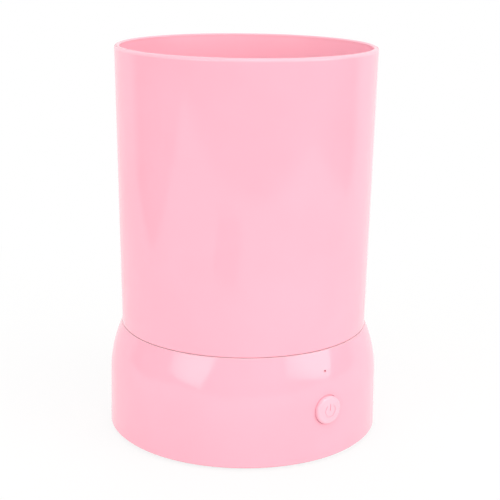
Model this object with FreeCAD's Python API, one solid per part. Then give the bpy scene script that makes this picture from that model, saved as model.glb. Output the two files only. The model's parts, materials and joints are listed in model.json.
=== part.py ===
import FreeCAD, Part
import math
import os

# Electric cosmetic brush cleaner: a lift-off wash cup with a turning scrubbing pad, on a motor base.
# Millimetres. The floor is z = 0, +Z is up, the push button faces -Y and the charging socket faces +Y.

# Base shell
base_diameter = 100.0
base_height = 38.7
base_draft = 0.77
shoulder_height = 18.5
shoulder_inset = 4.6
shell_wall = 2.2
deck_thickness = 2.0
well_depth = 3.6
shell_edge_bevel = 0.6
lip_round = 0.3
collar_height = 2.0
collar_wall = 3.0

# Bottom cover and feet
foot_proud = 1.0
foot_diameter = 10.0
foot_pocket = 1.2
foot_count = 4
foot_margin = 4.7
cover_recess = 0.6
cover_thickness = 2.8
cover_clearance = 0.25
cover_boss_diameter = 6.4
cover_boss_margin = 4.0
cover_boss_gap = 0.8

# Screws: head diameter, head height, shank diameter, length under the head
cover_screw = (4.8, 1.3, 2.3, 10.0)
plate_screw = (4.4, 1.3, 2.1, 8.0)
motor_screw = (3.4, 1.1, 1.9, 3.2)
board_screw = (3.6, 1.1, 1.9, 6.0)
screw_clearance = 0.1
counterbore_depth = 1.5
counterbore_clearance = 0.2
recess_width = 0.6
recess_arm_share = 0.3
recess_depth_share = 0.6
screw_tip_room = 1.0

# Wash cup
cup_height = 101.58
cup_step = 0.15
cup_flare = 1.65
cup_wall = 1.8
cup_floor_thickness = 2.2
cup_floor_bevel = 3.5
rim_outer_round = 1.05
rim_inner_bevel = 0.45
seam_gap = 0.12
seam_bevel = 0.2
spigot_inset = 2.6
spigot_clearance = 0.25
gasket_thickness = 0.8
gasket_width = 2.6
seat_gap = 0.05
key_count = 3
key_width = 7.6
key_height = 1.0
key_clearance = 0.25
key_first_angle = 90.0
rib_count = 6
rib_thickness = 1.6
hub_drop = 2.2
hub_wall = 2.6

# Drive train
gear_module = 0.6
gear_teeth = 60
pinion_teeth = 15
pressure_angle = 20.0
addendum_share = 0.9
dedendum_share = 1.25
flank_relief = 0.04
flank_steps = 5
gear_width = 4.0
pinion_overhang = 0.4
gear_gap = 1.0
plate_gap = 1.9
plate_thickness = 2.4
plate_post_diameter = 6.0
plate_post_count = 3
plate_post_gap = 1.2
plate_margin = 0.6
drive_shaft_diameter = 4.0
shaft_overhang = 0.8
bush_wall = 1.5
bush_flange = 1.1
bush_flange_thickness = 0.8
bush_drop = 1.0
thrust_gap = 0.1
running_gap = 0.05
press_gap = 0.02
gear_hub_wall = 3.0

# Motor
motor_diameter = 24.4
motor_floor_gap = 3.6
can_wall = 0.8
end_cap_proud = 1.2
end_cap_depth = 2.0
motor_boss_diameter = 6.0
motor_boss_height = 1.6
motor_shaft_diameter = 2.0
motor_screw_spacing = 17.0
magnet_thickness = 2.4
magnet_span = 130.0
magnet_end_gap = 1.2
air_gap = 0.4
armature_inset = 0.9
pole_count = 3
pole_slot = 2.4
commutator_diameter = 5.2
terminal_spacing = 10.0
terminal_size = (2.0, 0.5, 2.0)

# Coupling between base and cup
coupling_gap = 0.4
coupling_floor = 2.2
socket_depth = 4.5
socket_wall = 2.6
spline_teeth = 6
spline_core_diameter = 8.0
spline_tooth_height = 1.6
spline_tooth_width = 2.2
spline_clearance = 0.25
driven_body = 1.9

# Turntable and pad
turntable_shaft_diameter = 4.0
cup_bush_length = 5.0
seal_height = 3.0
seal_wall = 3.0
seal_lip = 1.0
turntable_gap = 0.3
carrier_gap = 3.6
carrier_thickness = 2.5
carrier_rim_width = 1.0
carrier_rim_height = 2.0
carrier_rim_clearance = 0.2
vane_count = 6
vane_thickness = 1.6
vane_depth = 2.4
pad_thickness = 1.8
nub_height = 7.6
nub_base_diameter = 3.0
nub_tip_diameter = 1.7
nub_first_circle = 26.0
nub_circle_step = 12.0
nub_edge_margin = 4.0
nubs_per_circle_step = 6
cap_diameter = 16.0
cap_flange_thickness = 1.4
cap_dome_height = 4.2
cap_dome_diameter = 12.8
cap_spigot_diameter = 9.6
cap_bore_depth = 3.6

# Button, switch and indicator
button_height = 18.3
button_diameter = 10.3
button_proud = 1.6
button_crown = 0.35
button_edge_round = 0.9
button_clearance = 0.12
button_flange_width = 1.4
button_flange_thickness = 1.2
guide_wall = 2.4
guide_depth = 1.5
button_rest_gap = 0.05
button_stem_diameter = 3.6
button_stem_length = 1.2
mark_radius = 2.2
mark_line = 0.45
mark_depth = 0.2
mark_gap_angle = 70.0
mark_bar_length = 2.3
switch_size = 6.0
switch_depth = 3.4
plunger_diameter = 3.4
plunger_proud = 1.5
plunger_engaged = 1.2
plunger_travel_room = 1.0
board_thickness = 1.2
switch_board_width = 26.0
switch_board_lift = 2.0
switch_board_headroom = 0.2
rail_wall = 1.6
rail_slot_depth = 1.5
rail_height = 16.0
board_slot_clearance = 0.1
led_size = (2.0, 1.2, 0.9)
guide_rod_diameter = 2.0
guide_headroom = 0.1
guide_tip_diameter = 0.6
guide_tip_recess = 0.7
pinhole_clearance = 0.1
guide_end_gap = 0.1

# Charging board and socket
charge_board_width = 22.0
charge_board_depth = 22.0
charge_board_lift = 6.6
charge_board_gap = 0.6
charge_post_diameter = 5.6
charge_post_spacing = 17.0
charge_post_setback = 8.0
socket_width = 8.94
socket_height = 3.26
socket_shell_wall = 0.3
socket_length = 7.4
socket_recess = 0.7
socket_clearance = 0.3
tongue_size = (6.7, 0.7)
tongue_base = 1.8
tongue_setback = 0.8
chip_sizes = ((5.0, 4.0, 1.5), (4.0, 4.0, 2.2), (2.0, 1.3, 1.0), (2.0, 1.3, 1.0))
chip_pitch = 5.0
chip_setback = 4.0

# Battery
cell_diameter = 14.2
cell_length = 49.6
cell_nub_diameter = 5.5
cell_nub_height = 0.8
cell_wall_gap = 1.5
tab_thickness = 0.3
tab_height = 10.0
tab_reach = 1.8
cell_pad_thickness = 1.0
cell_pad_size = (8.0, 20.0)
saddle_width = 13.0
saddle_thickness = 3.0
saddle_spacing = 32.0
saddle_height = 3.6
cell_clearance = 0.15

# Inner leads
lead_diameter = 1.2
ribbon_wire_diameter = 0.9
ribbon_wires = 3
ribbon_pitch = 1.2
lead_bend = 1.2
ribbon_bend = 2.0
lead_last_run = 3.6
lead_pad_pitch = 1.9
lead_pad_start = 2.6
lead_pad_setback = 3.6
lead_rest_gap = 0.3
ribbon_rise_gap = 5.0

# Heights, from the floor up
shell_z0 = foot_proud
lip_z = shell_z0 + base_height
deck_top = lip_z - well_depth
deck_under = deck_top - deck_thickness
collar_top = deck_top + collar_height
cover_z0 = shell_z0 + cover_recess
cover_top = cover_z0 + cover_thickness
gear_z1 = deck_under - gear_gap
gear_z0 = gear_z1 - gear_width
plate_z1 = gear_z0 - plate_gap
plate_z0 = plate_z1 - plate_thickness
motor_z0 = cover_top + motor_floor_gap + terminal_size[2]
can_z0 = motor_z0 + end_cap_proud
magnet_z0 = can_z0 + end_cap_depth + magnet_end_gap
magnet_z1 = plate_z0 - can_wall - magnet_end_gap
coupling_z0 = collar_top + coupling_gap
socket_floor = coupling_z0 + coupling_floor
socket_top = socket_floor + socket_depth
driven_z0 = socket_floor + coupling_gap
driven_z1 = socket_top + driven_body
hub_z0 = driven_z1 + turntable_gap
seal_z0 = hub_z0 + cup_bush_length
seal_z1 = seal_z0 + seal_height
floor_under = hub_z0 + hub_drop
floor_top = floor_under + cup_floor_thickness
ledge_z = lip_z + seam_gap
rim_z = ledge_z + cup_height
spigot_z0 = deck_top + gasket_thickness + seat_gap
carrier_z0 = seal_z1 + turntable_gap
carrier_z1 = carrier_z0 + carrier_thickness
pad_z1 = carrier_z1 + pad_thickness
cap_z1 = pad_z1 + cap_flange_thickness
button_z = shell_z0 + button_height
led_z = deck_under - guide_headroom - guide_rod_diameter / 2
charge_z0 = cover_top + charge_board_lift
charge_z1 = charge_z0 + board_thickness
socket_z = charge_z1 + socket_height / 2
cell_z = cover_top + cell_pad_thickness + cell_diameter / 2

# Radii
base_radius = base_diameter / 2
lip_radius = base_radius - shoulder_inset
cup_seam_radius = lip_radius - cup_step
cup_rim_radius = cup_seam_radius + cup_flare
spigot_radius = cup_seam_radius - spigot_inset
well_radius = spigot_radius + spigot_clearance
drive_bush_radius = drive_shaft_diameter / 2 + running_gap + bush_wall
collar_radius = drive_bush_radius + press_gap + collar_wall
cup_bush_radius = turntable_shaft_diameter / 2 + running_gap + bush_wall
hub_radius = cup_bush_radius + press_gap + hub_wall
seal_radius = turntable_shaft_diameter / 2 + running_gap + seal_wall
cup_collar_radius = seal_radius + press_gap + hub_wall
gear_pitch_radius = gear_module * gear_teeth / 2
pinion_pitch_radius = gear_module * pinion_teeth / 2
gear_tip_radius = gear_pitch_radius + addendum_share * gear_module
motor_x = gear_pitch_radius + pinion_pitch_radius
motor_radius = motor_diameter / 2
post_circle = gear_tip_radius + plate_post_gap + plate_post_diameter / 2
plate_radius = post_circle + plate_post_diameter / 2 + plate_margin
motor_plate_radius = motor_screw_spacing / 2 + motor_screw[0] / 2 + plate_margin
spline_core_radius = spline_core_diameter / 2
spline_tip_radius = spline_core_radius + spline_tooth_height
coupling_radius = spline_tip_radius + spline_clearance + socket_wall

# Shoulder arc: it leaves the drafted wall tangentially and ends on the lip
draft = math.radians(base_draft)
wall_end_z = lip_z - shoulder_height
wall_end_radius = base_radius - (wall_end_z - shell_z0) * math.tan(draft)
inward = (-math.cos(draft), -math.sin(draft))
chord = (lip_radius - wall_end_radius, shoulder_height)
shoulder_radius = (chord[0] ** 2 + chord[1] ** 2) / (2 * (chord[0] * inward[0] + chord[1] * inward[1]))
arc_r = wall_end_radius + shoulder_radius * inward[0]
arc_z = wall_end_z + shoulder_radius * inward[1]

X = FreeCAD.Vector(1, 0, 0)
Y = FreeCAD.Vector(0, 1, 0)
Z = FreeCAD.Vector(0, 0, 1)
ORIGIN = FreeCAD.Vector(0, 0, 0)


def shell_radius(z, inset=0.0):
    """Radius of the base's outer surface at height z, or of the surface that lies inset inside it."""
    if z <= wall_end_z:
        return base_radius - (z - shell_z0) * math.tan(draft) - inset / math.cos(draft)
    return arc_r + math.sqrt((shoulder_radius - inset) ** 2 - (z - arc_z) ** 2)


def polar(radius, degrees):
    return radius * math.cos(math.radians(degrees)), radius * math.sin(math.radians(degrees))


def disc(radius, z0, z1, x=0.0, y=0.0):
    return Part.makeCylinder(radius, z1 - z0, FreeCAD.Vector(x, y, z0))


def tube(outer, inner, z0, z1, x=0.0, y=0.0):
    return disc(outer, z0, z1, x, y).cut(disc(inner, z0, z1, x, y))


def block(x0, x1, y0, y1, z0, z1):
    return Part.makeBox(x1 - x0, y1 - y0, z1 - z0, FreeCAD.Vector(x0, y0, z0))


def front_rod(radius, d0, d1, z):
    """Rod that points at the front, from d0 to d1 away from the cup's axis."""
    return Part.makeCylinder(radius, d1 - d0, FreeCAD.Vector(0, -d0, z), -Y)


def stadium(width, height, y0, y1, z):
    """Bar along Y with a section of two half circles joined by flats."""
    radius = height / 2
    reach = width / 2 - radius
    ends = [Part.makeCylinder(radius, y1 - y0, FreeCAD.Vector(x, y0, z), Y) for x in (-reach, reach)]
    return block(-reach, reach, y0, y1, z - radius, z + radius).multiFuse(ends).removeSplitter()


def line(a, b):
    return Part.LineSegment(FreeCAD.Vector(a[0], 0, a[1]), FreeCAD.Vector(b[0], 0, b[1])).toShape()


def arc(a, middle, b):
    return Part.Arc(*[FreeCAD.Vector(p[0], 0, p[1]) for p in (a, middle, b)]).toShape()


def revolve(edges):
    return Part.Face(Part.Wire(edges)).revolve(ORIGIN, Z, 360)


def revolve_points(points):
    return revolve([line(a, b) for a, b in zip(points, points[1:] + points[:1])])


def ring_edges(shape, radius, z):
    """Circular edges about the Z axis with this radius and height."""
    found = []
    for edge in shape.Edges:
        curve = None if edge.Degenerated else edge.Curve
        if isinstance(curve, Part.Circle) and abs(curve.Radius - radius) < 1e-4:
            if abs(curve.Center.z - z) < 1e-4:
                found.append(edge)
    return found


def round_ring(shape, radius, z, size):
    return shape.makeFillet(size, ring_edges(shape, radius, z))


def bevel_ring(shape, radius, z, size):
    return shape.makeChamfer(size, ring_edges(shape, radius, z))


def around(shape, count, first=0.0):
    """Copies of a shape turned about the Z axis."""
    copies = []
    for i in range(count):
        copy = shape.copy()
        copy.rotate(ORIGIN, Z, first + 360.0 * i / count)
        copies.append(copy)
    return copies


def moved(shape, x=0.0, y=0.0, z=0.0):
    copy = shape.copy()
    copy.translate(FreeCAD.Vector(x, y, z))
    return copy


def screw(sizes):
    """Screw with its head's underside at z = 0 and its shank up +Z, with a cross recess in the head."""
    head, head_height, shank, length = sizes
    body = disc(head / 2, -head_height, 0).fuse(disc(shank / 2, 0, length))
    arm = head * recess_arm_share
    depth = head_height * recess_depth_share
    cross = [
        block(-arm, arm, -recess_width / 2, recess_width / 2, -head_height, depth - head_height),
        block(-recess_width / 2, recess_width / 2, -arm, arm, -head_height, depth - head_height),
    ]
    return body.cut(cross).removeSplitter()


def screw_down(sizes, x, y, z):
    """Screw driven downwards, with its head's underside at z."""
    body = screw(sizes)
    body.rotate(ORIGIN, X, 180)
    return moved(body, x, y, z)


def pilot_radius(sizes):
    return sizes[2] / 2 + screw_clearance


# Places that several pieces share
cavity_radius = shell_radius(cover_top, shell_wall)
boss_circle = cavity_radius - cover_boss_diameter / 2 - cover_boss_margin
boss_beside = cover_boss_diameter / 2 + cover_boss_gap
front_boss_x = switch_board_width / 2 + rail_wall + boss_beside
rear_boss_x = charge_board_width / 2 + boss_beside
front_boss_y = -math.sqrt(boss_circle ** 2 - front_boss_x ** 2)
rear_boss_y = math.sqrt(boss_circle ** 2 - rear_boss_x ** 2)
boss_places = [(front_boss_x, front_boss_y), (-front_boss_x, front_boss_y),
               (rear_boss_x, rear_boss_y), (-rear_boss_x, rear_boss_y)]
foot_circle = cavity_radius - foot_diameter / 2 - foot_margin
post_places = [polar(post_circle, 180.0 + 360.0 * i / plate_post_count) for i in range(plate_post_count)]
motor_screw_places = [(motor_x, s * motor_screw_spacing / 2) for s in (-1, 1)]

# Distances from the axis to the faces behind the button, from the outside in
button_wall = shell_radius(button_z)
button_face = button_wall + button_proud
button_hole_radius = button_diameter / 2 + button_clearance
button_flange_radius = button_hole_radius + button_flange_width
guide_radius = button_hole_radius + guide_wall
guide_face = math.sqrt(shell_radius(button_z, shell_wall) ** 2 - guide_radius ** 2) - guide_depth
flange_face = guide_face - button_rest_gap
flange_back = flange_face - button_flange_thickness
plunger_face = flange_back - button_stem_length
switch_face = plunger_face - plunger_proud
switch_board_face = switch_face - switch_depth
switch_board_back = switch_board_face - board_thickness
switch_board_z0 = cover_top + switch_board_lift

# Rear wall, charging board and battery
socket_mouth = shell_radius(socket_z) - socket_recess
charge_edge = shell_radius(charge_z1, shell_wall) - charge_board_gap
charge_y0 = charge_edge - charge_board_depth
charge_post_y = charge_y0 + charge_post_setback
charge_posts = [(s * charge_post_spacing / 2, charge_post_y) for s in (-1, 1)]
cell_end = cell_length / 2 + cell_nub_height + tab_thickness
cell_x = cell_diameter / 2 - math.sqrt((cavity_radius - cell_wall_gap) ** 2 - cell_end ** 2)


def shell_profile(inset, z0, z1):
    """Edges of the base's outer surface, or of the one inset inside it, from z0 to z1."""
    start = (shell_radius(z0, inset), z0)
    bend_z = wall_end_z + inset * inward[1]
    bend = (wall_end_radius + inset * inward[0], bend_z)
    end = (shell_radius(z1, inset), z1)
    middle_z = (bend_z + z1) / 2
    middle = (arc_r + math.sqrt((shoulder_radius - inset) ** 2 - (middle_z - arc_z) ** 2), middle_z)
    return start, end, [line(start, bend), arc(bend, middle, end)]


def shell_solid(inset, z0, z1):
    start, end, side = shell_profile(inset, z0, z1)
    return revolve([line((0, z0), start)] + side + [line(end, (0, z1)), line((0, z1), (0, z0))])


def base_shell():
    outside = shell_solid(0.0, shell_z0, lip_z)
    body = bevel_ring(outside, base_radius, shell_z0, shell_edge_bevel)
    body = round_ring(body, lip_radius, lip_z, lip_round)
    body = body.cut(shell_solid(shell_wall, shell_z0, lip_z))
    well_wall = tube(well_radius + shell_wall, well_radius, deck_under, lip_z - lip_round).common(outside)
    deck = disc(well_radius + shell_wall, deck_under, deck_top).common(outside)
    collar = disc(collar_radius, deck_under, collar_top)
    bosses = [disc(cover_boss_diameter / 2, cover_top, deck_top, x, y) for x, y in boss_places]
    posts = [disc(plate_post_diameter / 2, plate_z1, deck_top, x, y) for x, y in post_places]
    guide = front_rod(guide_radius, guide_face, button_wall, button_z).common(outside)
    body = body.multiFuse([well_wall, deck, collar, guide] + bosses + posts)
    cuts = [disc(drive_bush_radius + press_gap, deck_under, collar_top)]
    cuts.append(tube(well_radius, collar_radius, deck_top, lip_z))
    cuts.append(front_rod(button_hole_radius, guide_face, button_face, button_z))
    pinhole_radius = guide_tip_diameter / 2 + pinhole_clearance
    cuts.append(front_rod(pinhole_radius, shell_radius(led_z, 2 * shell_wall), base_radius, led_z))
    wide = socket_width + 2 * socket_clearance
    high = socket_height + 2 * socket_clearance
    cuts.append(stadium(wide, high, socket_mouth - socket_length, base_radius, socket_z))
    notch_half = key_width / 2 + key_clearance
    notch = block(0, spigot_radius + key_height + key_clearance, -notch_half, notch_half, deck_top, lip_z)
    notch = notch.cut(disc(well_radius - spigot_clearance, deck_top, lip_z))
    cuts += around(notch, key_count, key_first_angle)
    pilot_top = cover_z0 + counterbore_depth + cover_screw[3] + screw_tip_room
    cuts += [disc(pilot_radius(cover_screw), cover_top, pilot_top, x, y) for x, y in boss_places]
    pilot_top = plate_z0 + plate_screw[3] + screw_tip_room
    cuts += [disc(pilot_radius(plate_screw), plate_z1, pilot_top, x, y) for x, y in post_places]
    return body.cut(cuts).removeSplitter()


def bottom_cover():
    body = disc(cavity_radius - cover_clearance, cover_z0, cover_top)
    adds = []
    for side in (-1, 1):
        x0 = side * (switch_board_width / 2 - rail_slot_depth)
        x1 = x0 + side * (rail_slot_depth + rail_wall)
        y0 = -switch_board_face - rail_wall
        y1 = -switch_board_back + rail_wall
        adds.append(block(min(x0, x1), max(x0, x1), y0, y1, cover_top, cover_top + rail_height))
        saddle_y = side * saddle_spacing / 2
        adds.append(block(cell_x - saddle_width / 2, cell_x + saddle_width / 2,
                          saddle_y - saddle_thickness / 2, saddle_y + saddle_thickness / 2,
                          cover_top, cover_top + cell_pad_thickness + saddle_height))
    adds += [disc(charge_post_diameter / 2, cover_top, charge_z0, x, y) for x, y in charge_posts]
    body = body.multiFuse(adds)
    half = switch_board_width / 2 + board_slot_clearance
    cuts = [block(-half, half, -switch_board_face - board_slot_clearance,
                  -switch_board_back + board_slot_clearance, switch_board_z0, cover_top + rail_height)]
    cuts.append(cell_body(cell_clearance))
    for x, y in boss_places:
        head_radius = cover_screw[0] / 2 + counterbore_clearance
        cuts.append(disc(head_radius, cover_z0, cover_z0 + counterbore_depth, x, y))
        cuts.append(disc(pilot_radius(cover_screw), cover_z0, cover_top, x, y))
    pilot_end = charge_z1 - board_screw[3] - screw_tip_room / 2
    cuts += [disc(pilot_radius(board_screw), pilot_end, charge_z0, x, y) for x, y in charge_posts]
    pocket = disc(foot_diameter / 2 + press_gap, cover_z0, cover_z0 + foot_pocket, foot_circle)
    return body.cut(cuts + around(pocket, foot_count)).removeSplitter()


def rubber_feet():
    top = cover_z0 + foot_pocket
    foot = Part.makeCylinder(foot_diameter / 2, top, ORIGIN)
    foot = bevel_ring(foot, foot_diameter / 2, 0, foot_proud / 2)
    return around(moved(foot, foot_circle), foot_count)


def cover_screws():
    return [moved(screw(cover_screw), x, y, cover_z0 + counterbore_depth) for x, y in boss_places]


def cup_gasket():
    outer = well_radius - spigot_clearance / 2
    return tube(outer, outer - gasket_width, deck_top, deck_top + gasket_thickness)


def wash_cup():
    lean = (cup_rim_radius - cup_seam_radius) / cup_height
    inner_floor = cup_seam_radius + lean * (floor_top - ledge_z) - cup_wall
    skirt_top = cup_seam_radius + lean * (floor_under - ledge_z) - cup_wall
    skirt_low = cup_seam_radius + lean * cup_wall - cup_wall
    seal_bore = seal_radius + press_gap
    bush_bore = cup_bush_radius + press_gap
    body = revolve_points([
        (spigot_radius, spigot_z0), (spigot_radius, ledge_z), (cup_seam_radius, ledge_z),
        (cup_rim_radius, rim_z), (cup_rim_radius - cup_wall, rim_z), (inner_floor, floor_top),
        (cup_collar_radius, floor_top), (cup_collar_radius, seal_z1), (seal_bore, seal_z1),
        (seal_bore, seal_z0), (bush_bore, seal_z0), (bush_bore, hub_z0), (hub_radius, hub_z0),
        (hub_radius, floor_under), (skirt_top, floor_under), (skirt_low, ledge_z + cup_wall),
        (spigot_radius - cup_wall, ledge_z + cup_wall), (spigot_radius - cup_wall, spigot_z0)])
    body = bevel_ring(body, inner_floor, floor_top, cup_floor_bevel)
    body = round_ring(body, cup_rim_radius, rim_z, rim_outer_round)
    body = bevel_ring(body, cup_rim_radius - cup_wall, rim_z, rim_inner_bevel)
    body = bevel_ring(body, cup_seam_radius, ledge_z, seam_bevel)
    half = rib_thickness / 2
    overlap = cup_wall / 2
    rib = block(hub_radius - overlap, skirt_low + overlap, -half, half,
                hub_z0, floor_under + overlap)
    key = block(spigot_radius - overlap, spigot_radius + key_height, -key_width / 2, key_width / 2,
                spigot_z0, ledge_z + overlap)
    added = around(rib, rib_count) + around(key, key_count, key_first_angle)
    return body.multiFuse(added).removeSplitter()


def cup_bush():
    return tube(cup_bush_radius, turntable_shaft_diameter / 2 + running_gap, hub_z0, seal_z0)


def shaft_seal():
    bore = turntable_shaft_diameter / 2 + running_gap
    middle = (seal_z0 + seal_z1) / 2
    return revolve_points([(bore, seal_z0), (seal_radius, seal_z0), (seal_radius, seal_z1),
                           (seal_radius - seal_lip, seal_z1), (bore + seal_lip, middle), (bore, middle)])


def involute(base, radius):
    """Polar angle of a base circle's involute at a radius."""
    t = math.sqrt((radius / base) ** 2 - 1)
    return t - math.atan(t)


def gear_face(teeth):
    """Face of an external spur gear in the XY plane, with the middle of a tooth on +X."""
    pitch = gear_module * teeth / 2
    base = pitch * math.cos(math.radians(pressure_angle))
    tip = pitch + addendum_share * gear_module
    root = pitch - dedendum_share * gear_module
    half = math.pi / (2 * teeth) + involute(base, pitch) - flank_relief / pitch
    start = max(base, root)
    foot = half - involute(base, start)
    radii = [start + (tip - start) * i / flank_steps for i in range(flank_steps + 1)]

    def point(radius, angle):
        return FreeCAD.Vector(radius * math.cos(angle), radius * math.sin(angle), 0)

    edges = []
    step = 2 * math.pi / teeth
    for i in range(teeth):
        middle = i * step
        low = Part.BSplineCurve()
        low.interpolate([point(r, middle - half + involute(base, r)) for r in radii])
        high = Part.BSplineCurve()
        high.interpolate([point(r, middle + half - involute(base, r)) for r in reversed(radii)])
        top = Part.Arc(low.EndPoint, point(tip, middle), high.StartPoint)
        foot_low = point(root, middle - foot)
        foot_high = point(root, middle + foot)
        next_low = point(root, middle + step - foot)
        valley = Part.Arc(foot_high, point(root, middle + step / 2), next_low)
        if root < base:
            edges.append(Part.LineSegment(foot_low, low.StartPoint).toShape())
        edges += [low.toShape(), top.toShape(), high.toShape()]
        if root < base:
            edges.append(Part.LineSegment(high.EndPoint, foot_high).toShape())
        edges.append(valley.toShape())
    return Part.Face(Part.Wire(Part.__sortEdges__(edges)))


def gear_body(teeth, z0, z1):
    return moved(gear_face(teeth).extrude(Z * (z1 - z0)), z=z0)


def drive_gear():
    hub = drive_shaft_diameter / 2 + gear_hub_wall
    bush_top = plate_z1 + bush_flange_thickness
    body = gear_body(gear_teeth, gear_z0, gear_z1)
    body = body.fuse(disc(hub, bush_top + thrust_gap, deck_under - thrust_gap))
    return body.cut(disc(drive_shaft_diameter / 2 + press_gap, plate_z1, deck_under)).removeSplitter()


def drive_shaft():
    return disc(drive_shaft_diameter / 2, plate_z0 - bush_drop - shaft_overhang, socket_floor)


def upper_bush():
    return tube(drive_bush_radius, drive_shaft_diameter / 2 + running_gap, deck_under, collar_top)


def lower_bush():
    body = disc(drive_bush_radius, plate_z0 - bush_drop, plate_z1 + bush_flange_thickness)
    body = body.fuse(disc(drive_bush_radius + bush_flange, plate_z1, plate_z1 + bush_flange_thickness))
    bore = disc(drive_shaft_diameter / 2 + running_gap, plate_z0 - bush_drop, gear_z0)
    return body.cut(bore).removeSplitter()


def spline(clearance, z0, z1):
    half = spline_tooth_width / 2 + clearance
    tooth = block(0, spline_tip_radius + clearance, -half, half, z0, z1)
    core = disc(spline_core_radius + clearance, z0, z1)
    return core.multiFuse(around(tooth, spline_teeth)).removeSplitter()


def drive_coupling():
    body = disc(coupling_radius, coupling_z0, socket_top)
    body = round_ring(body, coupling_radius, socket_top, lip_round)
    bore = disc(drive_shaft_diameter / 2 + press_gap, coupling_z0, socket_floor)
    return body.cut([spline(spline_clearance, socket_floor, socket_top), bore])


def driven_coupling():
    body = spline(0.0, driven_z0, socket_top)
    body = body.fuse(disc(spline_tip_radius, socket_top, driven_z1))
    bore_z0 = driven_z0 + coupling_gap
    return body.cut(disc(turntable_shaft_diameter / 2 + press_gap, bore_z0, driven_z1))


def turntable_shaft():
    top = cap_z1 + cap_bore_depth - coupling_gap
    return disc(turntable_shaft_diameter / 2, driven_z0 + coupling_gap, top)


def carrier_radius():
    lean = (cup_rim_radius - cup_seam_radius) / cup_height
    return cup_seam_radius + lean * (carrier_z0 - ledge_z) - cup_wall - carrier_gap


def pad_carrier():
    radius = carrier_radius()
    body = disc(radius, carrier_z0, carrier_z1 + carrier_rim_height)
    body = body.cut(disc(radius - carrier_rim_width, carrier_z1, carrier_z1 + carrier_rim_height))
    half = vane_thickness / 2
    vane = block(cup_collar_radius + carrier_gap, radius - carrier_gap, -half, half,
                 carrier_z0 - vane_depth, carrier_z0 + carrier_thickness / 2)
    body = body.multiFuse(around(vane, vane_count))
    return body.cut(disc(turntable_shaft_diameter / 2 + press_gap, carrier_z0, carrier_z1)).removeSplitter()


def scrub_pad():
    radius = carrier_radius() - carrier_rim_width - carrier_rim_clearance
    body = disc(radius, carrier_z1, pad_z1)
    nubs = []
    room = 2 * (radius - nub_edge_margin) - nub_first_circle
    for i in range(int(room / nub_circle_step) + 1):
        nub = Part.makeCone(nub_base_diameter / 2, nub_tip_diameter / 2, nub_height,
                            FreeCAD.Vector((nub_first_circle + nub_circle_step * i) / 2, 0, pad_z1))
        nubs += around(nub, nubs_per_circle_step * (i + 2))
    body = body.multiFuse(nubs)
    hole = disc(cap_spigot_diameter / 2 + carrier_rim_clearance, carrier_z1, pad_z1)
    return body.cut(hole).removeSplitter()


def pad_cap():
    flange = disc(cap_diameter / 2, pad_z1, cap_z1)
    spigot = disc(cap_spigot_diameter / 2, carrier_z1, pad_z1)
    foot = cap_dome_diameter / 2
    ball = (foot ** 2 + cap_dome_height ** 2) / (2 * cap_dome_height)
    dome = Part.makeSphere(ball, FreeCAD.Vector(0, 0, cap_z1 + cap_dome_height - ball))
    dome = dome.common(disc(cap_diameter, cap_z1, cap_z1 + cap_dome_height))
    body = flange.multiFuse([spigot, dome]).removeSplitter()
    return body.cut(disc(turntable_shaft_diameter / 2 + press_gap, carrier_z1, cap_z1 + cap_bore_depth))


def gear_plate():
    body = disc(plate_radius, plate_z0, plate_z1)
    body = body.fuse(disc(motor_plate_radius, plate_z0, plate_z1, motor_x))
    cuts = [disc(drive_bush_radius + press_gap, plate_z0, plate_z1)]
    cuts.append(disc(motor_boss_diameter / 2 + screw_clearance, plate_z0, plate_z1, motor_x))
    cuts += [disc(pilot_radius(motor_screw), plate_z0, plate_z1, x, y) for x, y in motor_screw_places]
    cuts += [disc(pilot_radius(plate_screw), plate_z0, plate_z1, x, y) for x, y in post_places]
    return body.cut(cuts).removeSplitter()


def gear_plate_screws():
    return [moved(screw(plate_screw), x, y, plate_z0) for x, y in post_places]


def motor_screws():
    return [screw_down(motor_screw, x, y, plate_z1) for x, y in motor_screw_places]


def motor_can():
    body = disc(motor_radius, can_z0, plate_z0, motor_x)
    body = body.fuse(disc(motor_boss_diameter / 2, plate_z0, plate_z0 + motor_boss_height, motor_x))
    cuts = [disc(motor_radius - can_wall, can_z0, plate_z0 - can_wall, motor_x)]
    cuts.append(disc(motor_shaft_diameter / 2 + running_gap, can_z0, plate_z1, motor_x))
    cuts += [disc(pilot_radius(motor_screw), can_z0, plate_z0, x, y) for x, y in motor_screw_places]
    return body.cut(cuts).removeSplitter()


def motor_end_cap():
    body = disc(motor_radius, motor_z0, can_z0, motor_x)
    body = body.fuse(disc(motor_radius - can_wall - press_gap, can_z0, can_z0 + end_cap_depth, motor_x))
    bore = disc(motor_shaft_diameter / 2 + running_gap, can_z0, can_z0 + end_cap_depth, motor_x)
    return body.cut(bore).removeSplitter()


def motor_terminals():
    wide, thick, drop = terminal_size
    tabs = []
    for side in (-1, 1):
        x = motor_x + side * terminal_spacing / 2
        tabs.append(block(x - wide / 2, x + wide / 2, -thick / 2, thick / 2, motor_z0 - drop, motor_z0))
    return tabs


def motor_magnets():
    outer = motor_radius - can_wall - press_gap
    ring = tube(outer, outer - magnet_thickness, magnet_z0, magnet_z1)
    foot = FreeCAD.Vector(0, 0, magnet_z0)
    wedge = Part.makeCylinder(motor_radius, magnet_z1 - magnet_z0, foot, Z, magnet_span)
    wedge.rotate(ORIGIN, Z, -magnet_span / 2)
    return [moved(piece, motor_x) for piece in around(ring.common(wedge), 2)]


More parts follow.
